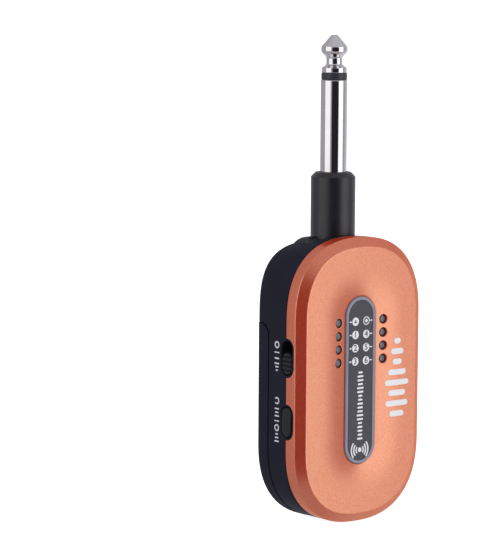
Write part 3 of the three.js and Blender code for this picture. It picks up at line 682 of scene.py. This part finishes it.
def ring_decal(inner, outer, place, centre, start=0.0, sweep=360.0, thick=0.03, steps=36):
    """A ring or an arc of ink."""
    angles = [math.radians(start + sweep * k / steps) for k in range(steps + 1)]
    full = sweep >= 360
    if full:
        angles = angles[:-1]
    sections = []
    for t in angles:
        c, s = math.cos(t), math.sin(t)
        corners = [(inner, -thick), (inner, thick), (outer, thick), (outer, -thick)]
        sections.append([place(centre[0] + r * c, centre[1] + r * s, lift) for r, lift in corners])
    return loft(sections, closed=full)


def bar(a, b, half_a, half_b):
    """A bar with round ends along its longer side."""
    if half_b >= half_a:
        return [(a + u, b + v) for u, v in stadium(half_a, half_b, 10, 8)]
    return [(a + v, b - u) for u, v in stadium(half_b, half_a, 10, 8)]


def disc(a, b, radius, count):
    return [(a + radius * math.cos(t), b + radius * math.sin(t)) for t in turns(count)]


def slant(a, b, half_a, half_b, lean=0.3):
    """A bar with square ends that leans."""
    corners = [(-half_a, -half_b), (half_a, -half_b), (half_a, half_b), (-half_a, half_b)]
    return [(a + u + lean * v, b + v) for u, v in corners]


def on_face(x, height, lift):
    return (x, at_depth(dish(x, height) - lift), at_height(height))


def on_panel(x, height, lift):
    return (x, at_depth(PANEL_FACE - lift), at_height(height))


def on_side(depth, height, lift):
    return (-HALF_W - lift, at_depth(depth), at_height(height))


def digit(text, x, height):
    """A plain numeral as a thin solid lying on the label."""
    curve = bpy.data.curves.new("numeral", "FONT")
    curve.body = text
    curve.align_x, curve.align_y = "CENTER", "CENTER"
    curve.size = NUMERAL_SIZE * MM
    curve.extrude = 0.02 * MM
    curve.offset = 0.05 * MM
    numeral = bpy.data.objects.new("numeral", curve)
    bpy.context.scene.collection.objects.link(numeral)
    bpy.context.view_layer.update()
    graph = bpy.context.evaluated_depsgraph_get()
    mesh = bpy.data.meshes.new_from_object(numeral.evaluated_get(graph))
    bpy.data.objects.remove(numeral)
    spot = Vector((x, at_depth(PANEL_FACE - 0.045), at_height(height))) * MM
    mesh.transform(Matrix.Translation(spot) @ Matrix.Rotation(math.pi / 2, 4, "X"))
    bm = bmesh.new()
    bm.from_mesh(mesh)
    verts = [tuple(v.co / MM) for v in bm.verts]
    faces = [tuple(v.index for v in f.verts) for f in bm.faces]
    bm.free()
    return verts, faces


ROWS = [middle_of(low, high)[1] - MIDDLE for _, (low, high) in LIGHTS[:4]]
BADGE, BADGE_X, TICK_X = 1.0, 1.68, 3.18
NUMERAL_SIZE = 2.05
WAVE_BARS, WAVE_TOP, WAVE_PITCH = 18, 1.9, 0.93
BEACON = -16.6  # the radio waves' height


def label_print():
    """Badges beside the lights, a sound wave up the middle, and radio waves at the foot."""
    light, dark = [], []
    for side in (-1, 1):
        for row, height in enumerate(ROWS):
            x = side * BADGE_X
            light.append(decal(bar(side * TICK_X, height, 0.34, 0.15), on_panel, 2))
            if row == 0 and side > 0:
                light.append(ring_decal(0.78, BADGE, on_panel, (x, height)))
                light.append(decal(disc(x, height, 0.4, 24), on_panel, 3))
                continue
            light.append(decal(disc(x, height, BADGE, 40), on_panel, 3))
            if row == 0:
                arrow = [(x - 0.5, height - 0.36), (x + 0.5, height - 0.36), (x, height + 0.56)]
                dark.append(decal(arrow, lambda a, b, lift: on_panel(a, b, lift + 0.03), 2, 0.02))
            else:
                dark.append(digit(str(row + (0 if side < 0 else 3)), x, height))
    for k in range(WAVE_BARS):
        swing = abs(math.sin(k * 0.93 + 0.5)) * 0.5 + abs(math.sin(k * 0.41 + 0.2)) * 0.5
        light.append(decal(bar(0, WAVE_TOP - k * WAVE_PITCH, 0.45 + 0.6 * swing, 0.23), on_panel, 2))
    light.append(decal(disc(0, BEACON, 0.55, 24), on_panel, 3))
    for radius in (1.1, 1.85, 2.6):
        for start in (-42, 138):
            rim = (radius - 0.19, radius + 0.19)
            light.append(ring_decal(*rim, on_panel, (0, BEACON), start, 84, steps=16))
    finish_piece(solid("label_print", *light), WHITE_INK, "housing")
    finish_piece(solid("label_numbers", *dark), DARK_INK, "housing")


label_print()


def front_print():
    """A column of level bars beside the label."""
    halves = (1.0, 1.9, 1.4, 2.7, 3.6, 2.6, 3.4, 2.2)
    x, top, pitch = 11.1, 8.6, 2.5
    bars = [decal(bar(x, top - k * pitch, half, 0.68), on_face, 10, 0.05) for k, half in enumerate(halves)]
    finish_piece(solid("front_print", *bars), WHITE_INK, "housing")


front_print()


def side_print():
    """Power and mode marks beside the two controls."""
    power, mode = 8.1, 8.0  # how deep each line of marks is
    marks = [ring_decal(0.5, 0.86, on_side, (power, 9.3))]
    marks.append(decal(slant(power, 7.5, 0.85, 0.14), on_side, 2))
    marks.append(decal(bar(power, 6.1, 0.82, 0.2), on_side, 2))
    for k in range(3):
        marks.append(decal(slant(power, 4.9 - k * 0.8, 0.8 - 0.22 * k, 0.17, 0), on_side, 2))
    marks.append(ring_decal(0.52, 0.86, on_side, (mode, -3.9), 40, 280))
    for k in range(3):
        marks.append(decal(bar(mode, -5.8 - k * 0.85, 0.8 - 0.18 * (k % 2), 0.17), on_side, 2))
    marks.append(decal(slant(mode, -8.7, 0.85, 0.14), on_side, 2))
    marks.append(ring_decal(0.5, 0.84, on_side, (mode, -10.3)))
    for k in range(3):
        marks.append(decal(bar(mode, -11.8 - k * 0.85, 0.5 + 0.15 * k, 0.17), on_side, 2))
    finish_piece(solid("side_print", *marks), GREY_INK, "housing")


side_print()

# ---- light pipes


def light_pipes():
    """Smoked rods with a shallow dome in front and a flange behind."""
    for name, (low, high) in LIGHTS:
        x, z = middle_of(low, high)
        front, back = low[1] - FACE - 0.55, high[1] - FACE
        profile = []
        for t in np.linspace(0, math.pi / 2, 9):
            profile.append((LENS_RADIUS * math.sin(t), front + 0.3 * (1 - math.cos(t))))
        profile += [(LENS_RADIUS, 4.45), (LENS_FLANGE, 4.5), (LENS_FLANGE, back), (0, back)]
        profile = [(r, depth + FACE) for r, depth in profile]
        pipe = solid(f"lens_{name}", lathe(profile, 40, (x, 0, z), "y"))
        finish_piece(pipe, LENS_LOOK, "housing", [f"light_pipe_{name}"])


light_pipes()

# ---- frame and rear cover


def rear_zone(grow, back=30.0, x_reach=25.0):
    """Everything behind the seam and below its round top corner."""
    front, top = SEAM_DEPTH - grow, SEAM_TOP + grow
    corner = [(front, -45), (front, top), (back, top)]
    line = rounded(corner, [SEAM_CORNER], 14) + [np.array((back, -45.0))]
    return loft([[(x, at_depth(d), at_height(h)) for d, h in line] for x in (-x_reach, x_reach)])


def bezel(height, half):
    """The frame's lip round a control, standing forward into the front cover's notch."""
    section = rounded(
        [(BEZEL, -16.9), (BEZEL, BEZEL_FACE), (0, BEZEL_FACE), (0, -16.4), (BEZEL, -16.4)],
        [0.06, 0.14, 0],
        4,
    )
    rings = []
    for grow, x in section:
        rings.append(left_wall(stadium(SLOT_HALF_WIDTH + grow, half + grow), x, height))
    return loft(rings, closed=True)


def screw_places():
    """Each rear screw's number, x, z and the y of its head."""
    for k in (1, 2, 3, 4):
        low, high = cad(f"rear_screw_{k}")
        yield k, *middle_of(low, high), high[1]


def socket_ring(half_w, half_h, z):
    """A rounded oblong about the charging socket's axis, in a level plane."""
    low, high = cad("charging_socket")
    y = (low[1] + high[1]) / 2
    return [(b, y + a, z) for a, b in stadium(half_h, half_w, 14)]


def seam_tongue(inset, stop):
    """Part of the strip that backs the seam, from its inset and the place where it stops."""
    strip = solid("tongue", frame_envelope(FRAME_FRONT, inset))
    core = solid("core", frame_envelope(FRAME_FRONT - 1, WALL + TONGUE_THICK))
    carve(strip, [core, solid("inside", rear_zone(stop))])
    return carve(strip, [solid("reach", rear_zone(TONGUE_REACH))], "INTERSECT")


def bay_tools(floor):
    """What is cut out for the arm and its pins."""
    far = (BAY_HALF, at_depth(DEPTH + 5), at_height(HALF_H + 5))
    bay = block((-BAY_HALF, -COLLAR - 0.3, floor), (BAY_HALF, far[1], HINGE_Z + LIP_RISE))
    mouth = block((-BAY_HALF, -LIP_FRONT, floor), far)
    radius = COLLAR + BAY_GAP
    notch = lathe([(0, floor), (radius, floor), (radius, far[2]), (0, far[2])])
    reach = 12.6
    pin = [(0, -reach), (PIN_RADIUS, -reach), (PIN_RADIUS, reach), (0, reach)]
    pin = lathe(pin, 40, (0, 0, HINGE_Z), "x")
    return [solid("bay", bay), solid("mouth", mouth), solid("notch", notch), solid("pin", pin)]


def socket_mouth():
    """The opening for the charging socket, flared at its outer end."""
    stations = ((0.35, -84.5), (0.35, -82.75), (0, -82.3), (0, -75))
    return solid("mouth", loft([socket_ring(4.8 + grow, 1.9 + grow, z) for grow, z in stations]))


def frame_shell():
    """The black middle shell, with the arm's bay, the controls' slots and the strip behind the seam."""
    shell = solid("frame_shell", frame_envelope(FRAME_FRONT, 0, PARTING_GAP))
    hollow = solid("hollow", frame_envelope(FRAME_FRONT - 1, WALL))
    carve(shell, [hollow, solid("rear", rear_zone(SEAM_HALF))])
    floor = HINGE_Z - COLLAR - BAY_GAP
    low = (-BAY_HALF - CHEEK, at_depth(FRAME_FRONT + 0.1), floor - CHEEK)
    high = (BAY_HALF + CHEEK, at_depth(DEPTH), at_height(HALF_H))
    walls = solid("walls", block(low, high))
    carve(walls, [solid("limit", frame_envelope(FRAME_FRONT, 0, PARTING_GAP))], "INTERSECT")
    lips = [solid("lip", bezel(height, half)) for height, half in CONTROLS]
    carve(shell, [walls], "UNION")
    tools = bay_tools(floor)
    for height, half in CONTROLS:
        tools.append(slot_tool("slot", height, SLOT_HALF_WIDTH + 0.2, half + 0.2, inner=-16.2))
    carve(shell, tools + [socket_mouth()])
    tongue = [seam_tongue(WALL - 0.3, SEAM_HALF + 0.1), seam_tongue(WALL + TONGUE_GAP, -TONGUE_PAST)]
    carve(shell, lips + tongue, "UNION")
    finish_piece(shell, SHELL, "housing", ["frame"], 30)


frame_shell()


def rear_shell():
    """The rear cover, with a stepped bore for each screw."""
    shell = solid("rear_shell", frame_envelope(SEAM_DEPTH - 2, -0.08))
    carve(shell, [solid("hollow", frame_envelope(SEAM_DEPTH - 3, WALL))])
    carve(shell, [solid("zone", rear_zone(-SEAM_HALF))], "INTERSECT")
    low = (-HALF_W + 1.2, at_depth(SEAM_DEPTH + 2.9), at_height(SEAM_TOP - 1.4))
    high = (HALF_W - 1.2, at_depth(DEPTH - 0.9), at_height(SEAM_TOP - SEAM_HALF - 0.01))
    carve(shell, [solid("top_wall", block(low, high))], "UNION")
    tools = []
    for _, x, z, _ in screw_places():
        bore = [(0, 8.5), (1, 8.5), (1, DEPTH - 1.9), (1.8, DEPTH - 1.9), (1.8, DEPTH - 0.15)]
        bore += [(2.1, DEPTH + 0.2), (0, DEPTH + 0.2)]
        tools.append(solid("bore", lathe([(r, at_depth(d)) for r, d in bore], 40, (x, 0, z), "y")))
    carve(shell, tools)
    finish_piece(shell, SHELL, "housing", ["rear_cover"], 30)


rear_shell()


def rear_screws():
    """Cross-head screws, each turned a little differently."""
    head, shank, under, length = 1.55, 0.7, 1, 6.4
    for k, x, z, back in screw_places():
        neck, end = back - under, back - length
        profile = [(0, back), (head, back), (head, neck), (shank, neck), (shank, end), (0, end)]
        profile = rounded(profile, [0.3, 0.1, 0.1, 0.2], 4)
        screw = solid(f"screw_{k}", lathe(profile, 40, (x, 0, z), "y"))
        arms = []
        for turn in (0, 90):
            arm = solid("arm", block((-0.95, back - 0.55, -0.16), (0.95, back + 1, 0.16)))
            spin = Matrix.Rotation(math.radians(turn + 20 * k), 4, "Y")
            arm.data.transform(Matrix.Translation(Vector((x, 0, z)) * MM) @ spin)
            arms.append(arm)
        carve(screw, arms)
        finish_piece(screw, STEEL, "housing", [f"rear_screw_{k}"])


rear_screws()

# ---- charging socket


def charging_socket():
    """A drawn steel can round a tongue with contacts on both sides."""
    low, high = cad("charging_socket")
    mouth, end = low[2], high[2]
    section = [(0, end), (0, mouth + 0.08), (0.08, mouth), (0.22, mouth)]
    section += [(0.3, mouth + 0.1), (0.3, end - 0.3)]
    rings = [socket_ring(4.47 - inset, 1.57 - inset, z) for inset, z in section]
    rings.insert(0, socket_ring(2.0, 0.3, end))
    can = solid("socket_can", loft(rings))
    finish_piece(can, STEEL, "housing", ["charging_socket"])
    low, high = cad("socket_tongue")
    tongue = solid("socket_tab", block(low, high, 0.12))
    finish_piece(tongue, CONTROL, "housing", ["socket_tongue"])
    pads = []
    for y in (low[1], high[1]):
        for k in range(12):
            x = -2.75 + 0.5 * k
            pads.append(block((x - 0.12, y - 0.02, low[2] + 0.3), (x + 0.12, y + 0.02, high[2] - 1)))
    finish_piece(solid("socket_pads", *pads), GOLD, "housing")


charging_socket()

# ---- controls


def pushed_cap(name, body, node, half_w, half_l, shorter, relief):
    """A key with round ends and rounded edges. relief gives how far a point of its face stands back."""
    low, high = cad(node)
    outer, inner = low[0], high[0] - shorter
    centre_y, centre_z = at_depth(CONTROL_DEPTH), middle_of(low, high)[1]
    edge, edge_steps, face_steps = 0.45, 6, 14

    def ring(inset, x_at):
        points = stadium(half_w - inset, half_l - inset, 28, 30)
        return [(x_at(a, b), centre_y + a, centre_z + b) for a, b in points]

    rings = [ring(0, lambda a, b: inner), ring(0, lambda a, b: outer + edge)]
    for k in range(1, edge_steps + 1):
        t = k / edge_steps * math.pi / 2
        x = outer + edge * (1 - math.sin(t))
        rings.append(ring(edge * (1 - math.cos(t)), lambda a, b: x + relief(a, b) * math.sin(t)))
    for k in range(1, face_steps + 1):
        inset = edge + (half_w - edge - 0.03) * k / face_steps
        rings.append(ring(inset, lambda a, b: outer + relief(a, b)))
    finish_piece(solid(name, loft(rings)), CONTROL, body, [node], 50)


def ribs(a, b):
    """The slide knob's grooved face."""
    pitch, deep = 1.05, 0.42
    groove = 1 - smooth(abs((b / pitch + 100) % 1 - 0.5) / 0.24)
    return deep * groove * smooth((2.15 - abs(b)) / 0.1)


def hollow(a, b):
    """The mode key's face, which falls away to its edges."""
    return 0.05 * (a / 1.5) ** 2 + 0.12 * (b / 3.2) ** 2


def controls():
    pushed_cap("slide_knob", "power_switch", "switch_knob", 1.8, 2.6, 0.4, ribs)
    pushed_cap("mode_key", "mode_button", "push_button", 1.75, 3.5, 0.5, hollow)


controls()

# ---- plug


def crown(x):
    """The barrel's top radius: it falls away on the right and is rounded off at the left end."""
    return CROWN - 1.5 * smooth((x - 3.9) / 3.4) - 0.4 * smooth((-x - 7.6) / 1.5)


def barrel_line(x, inset=0.0):
    """The barrel's top across its axis, as (y, z): a high crown behind, low and round in front."""
    top, low = crown(x) - inset, COLLAR - inset
    line = []
    for t in np.linspace(math.asin(min(0.98, low / top)), -math.pi / 2, 49):
        radius = top - (top - low) * smooth((-t - 0.08) / 0.34)
        line.append((radius * math.sin(t), radius * math.cos(t)))
    return line


def barrel_section(x, inset=0.0):
    """A closed ring round the barrel."""
    low = COLLAR - inset
    under = [(low * math.cos(t), low * math.sin(t)) for t in np.linspace(math.pi, 2 * math.pi, 41)[1:]]
    return [(x, y, HINGE_Z + z) for y, z in barrel_line(x, inset) + under]


COLLAR_STEPS = 112


def foot(spread, rise):
    """A ring round the collar that follows the barrel's skin. It stays narrow in front."""
    ring = []
    for t in turns(COLLAR_STEPS):
        radius = COLLAR + spread * smooth((COLLAR * math.sin(t) + 3.4) / 1.8)
        x, y = radius * math.cos(t), radius * math.sin(t)
        ys, zs = zip(*reversed(barrel_line(x)))
        ring.append((x, y, HINGE_Z + np.interp(y, ys, zs) + rise))
    return ring


def arm():
    """The collar and the hinge barrel in one moulding, joined by a fillet."""
    chamfer, lip = 1.1, 3.45
    top = rounded(
        [(COLLAR, -2.5), (COLLAR, -chamfer), (COLLAR - chamfer, 0), (lip, 0), (SEAT_RADIUS, -0.35)],
        [0.15, 0.15, 0.05],
        5,
    )
    rings = [[(x, y, HINGE_Z - 1) for x, y, z in foot(FILLET, 0)], foot(FILLET, -0.5)]
    for t in np.linspace(0, math.pi / 2, 9):
        rings.append(foot(FILLET * (1 - math.sin(t)), FILLET * (1 - math.cos(t)) - 0.06))
    rings += [circle(r, z, COLLAR_STEPS) for r, z in top]
    rings.append(circle(SEAT_RADIUS, -4, COLLAR_STEPS))
    collar = solid("plug_arm", loft(rings))
    trim = solid("trim", block((-7, -COLLAR, HINGE_Z - 2), (7, COLLAR, 3)))
    carve(collar, [trim], "INTERSECT")
    stations = [(-BARREL_HALF, 0.45), (-BARREL_HALF + 0.13, 0.13), (-BARREL_HALF + 0.45, 0)]
    stations += [(x, 0) for x in np.linspace(-BARREL_HALF + 0.9, BARREL_HALF - 0.9, 41)]
    stations += [(-x, inset) for x, inset in stations[2::-1]]
    barrel = solid("barrel", loft([barrel_section(x, inset) for x, inset in stations]))
    carve(collar, [barrel], "UNION")
    pin = [(0, -10), (PIN_RADIUS, -10), (PIN_RADIUS, 10), (0, 10)]
    carve(collar, [solid("pin", lathe(pin, 40, (0, 0, HINGE_Z), "x"))])
    seat = [(0, SEAT_FLOOR), (SEAT_RADIUS, SEAT_FLOOR), (SEAT_RADIUS, 1), (0, 1)]
    carve(collar, [solid("seat", lathe(seat, 64))])
    finish_piece(collar, ARM, "plug", ["swivel_arm"], 28)


arm()


def plug():
    """The mono plug: a hollow sleeve, an insulating ring and a turned tip."""
    low, high = cad("plug_sleeve")
    foot_z, top = low[2], high[2]
    inside, floor = 2.35, low[2] + 0.5
    profile = [(0, foot_z), (SLEEVE_RADIUS, foot_z), (SLEEVE_RADIUS, top)]
    profile += [(inside, top), (inside, floor), (0, floor)]
    sleeve = solid("sleeve", lathe(rounded(profile, [0.1, 0.22, 0.1, 0], 5), 144))
    finish_piece(sleeve, CHROME, "plug", ["plug_sleeve"])
    low, high = cad("plug_insulator")
    spigot, bore, rim = 2, 1.45, 3.06
    profile = [(0, low[2]), (spigot, low[2]), (spigot, top + 0.05), (rim, top + 0.05)]
    profile += [(rim, high[2]), (bore, high[2]), (bore, low[2] + 0.4), (0, low[2] + 0.4)]
    insulator = solid("insulator", lathe(rounded(profile, [0, 0, 0.1, 0.14, 0.05, 0], 4), 112))
    finish_piece(insulator, INSULATOR, "plug", ["plug_insulator"])
    tip_low, tip_high = cad("plug_tip")
    tip = tip_high[2]
    flange = high[2] + 0.04
    spigot, collar, neck = 1.2, 3.0, 1.92
    profile = rounded(
        [
            (0, tip_low[2]),
            (spigot, tip_low[2]),
            (spigot, flange),
            (collar, flange),
            (collar, tip - 7.75),
            (neck, tip - 7.0),
            (neck, tip - 5.35),
            (3.17, tip - 4.05),
            (3.1, tip - 2.75),
            (0.72, tip),
            (0, tip),
        ],
        [0.05, 0.1, 0.15, 0.13, 0.6, 0.8, 1.1, 0.9, 0.12],
        12,
    )
    point = solid("tip", lathe(profile, 144))
    finish_piece(point, CHROME, "plug", ["plug_tip"], 40)


plug()

# ---- floor and light


BOWL_RADIUS, BOWL_HEIGHT, BOWL_CURVE = 1500, 1900, 600


def studio():
    """A pale bowl, whose floor curves up all round. It is hidden from every ray but the camera's."""
    floor = at_height(-HALF_H) - 0.05
    corners = [(0, floor), (BOWL_RADIUS, floor), (BOWL_RADIUS, floor + BOWL_HEIGHT)]
    line = rounded(corners, [BOWL_CURVE], 24)
    verts, faces = loft([circle(r, z, 96) for r, z in line[1:]], caps=(True, False))
    mesh = bpy.data.meshes.new("sweep")
    mesh.from_pydata([tuple(c * MM for c in v) for v in verts], [], faces)
    mesh.shade_smooth()
    sweep = bpy.data.objects.new("sweep", mesh)
    bpy.context.scene.collection.objects.link(sweep)
    look = Look("sweep_paper")
    base = look.tint(look.noise(6.0, 3.0), (0.86, 0.86, 0.865), (0.9, 0.9, 0.9))
    normal = look.bump(look.noise(500.0, 4.0), 0.05, 0.05)
    glow = {"Emission_Color": (0.95, 0.97, 1.0, 1), "Emission_Strength": 0.93}
    mesh.materials.append(look.surface(Base_Color=base, Roughness=0.9, Normal=normal, **glow))
    sweep.visible_glossy = sweep.visible_diffuse = sweep.visible_shadow = False


def direction(azimuth, elevation):
    """A unit vector from angles in degrees: azimuth 0 is in front, and positive is to the right."""
    a, e = math.radians(azimuth), math.radians(elevation)
    return Vector((math.sin(a) * math.cos(e), -math.cos(a) * math.cos(e), math.sin(e)))


def softbox(name, azimuth, elevation, width, height, power, colour):
    """A panel of light that faces the housing. Its size is in metres."""
    away = direction(azimuth, elevation)
    target = Vector((0, 0, at_height(10) * MM))
    light = bpy.data.lights.new(name, "AREA")
    light.shape = "RECTANGLE"
    light.size, light.size_y = width, height
    light.energy = power
    light.color = colour
    lamp = bpy.data.objects.new(name, light)
    lamp.location = target + away * SOFTBOX_DISTANCE
    lamp.rotation_euler = (-away).to_track_quat("-Z", "Y").to_euler()
    bpy.context.scene.collection.objects.link(lamp)


SOFTBOX_DISTANCE = 0.8  # metres
DARK_SIDE, BRIGHT_SIDE, SKY = (-30, 0), (120, -30), (60, 70)  # azimuth and elevation
OPENING_COLOUR = (0.05, 0.045, 0.055)
SKY_COLOUR = (0.68, 0.67, 0.71)
ROOM_LOW, ROOM_HIGH = (0.50, 0.50, 0.54), (0.95, 0.95, 1.0)
BLACK, WHITE = (0, 0, 0), (1, 1, 1)


def room_light():
    """A pale grey room, brighter to the right and below, with a dark opening where the camera stands."""
    world = bpy.data.worlds.new("room")
    world.use_nodes = True
    tree = world.node_tree
    tree.nodes.clear()
    place = add_node(tree, "ShaderNodeTexCoord", {}).outputs["Generated"]

    def towards(side, *stops):
        """A colour that depends on the angle from a direction. A stop is (cosine, colour)."""
        links = {0: place, 1: direction(*side)}
        dot = add_node(tree, "ShaderNodeVectorMath", links, operation="DOT_PRODUCT").outputs["Value"]
        links = {"Value": dot, "From Min": -1.0, "From Max": 1.0}
        share = add_node(tree, "ShaderNodeMapRange", links).outputs["Result"]
        ramp = add_node(tree, "ShaderNodeValToRGB", {"Fac": share})
        for element, (cosine, colour) in zip(ramp.color_ramp.elements, stops):
            element.position, element.color = (cosine + 1) / 2, (*colour, 1)
        return ramp.outputs["Color"]

    def mix(mode, factor, first, second):
        links = {"Factor": factor, 6: first, 7: second}
        return add_node(tree, "ShaderNodeMix", links, data_type="RGBA", blend_type=mode).outputs[2]

    room = towards(BRIGHT_SIDE, (0.5, ROOM_LOW), (0.97, ROOM_HIGH))
    opening = towards(DARK_SIDE, (0.84, WHITE), (0.9, OPENING_COLOUR))
    sky = towards(SKY, (0.35, BLACK), (0.9, WHITE))
    room = mix("MIX", sky, room, (*SKY_COLOUR, 1))
    shade = mix("MULTIPLY", 1.0, room, opening)
    background = add_node(tree, "ShaderNodeBackground", {"Color": shade, "Strength": 1.0})
    add_node(tree, "ShaderNodeOutputWorld", {"Surface": background.outputs[0]})
    bpy.context.scene.world = world


def lights():
    softbox("key", 23, 3, 0.59, 0.9, 2.44, (1.0, 0.985, 0.96))
    softbox("left", -95, 14, 0.75, 0.8, 1.9, (1.0, 0.955, 0.90))
    room_light()
    bpy.context.scene.view_settings.view_transform = "Standard"


studio()
lights()
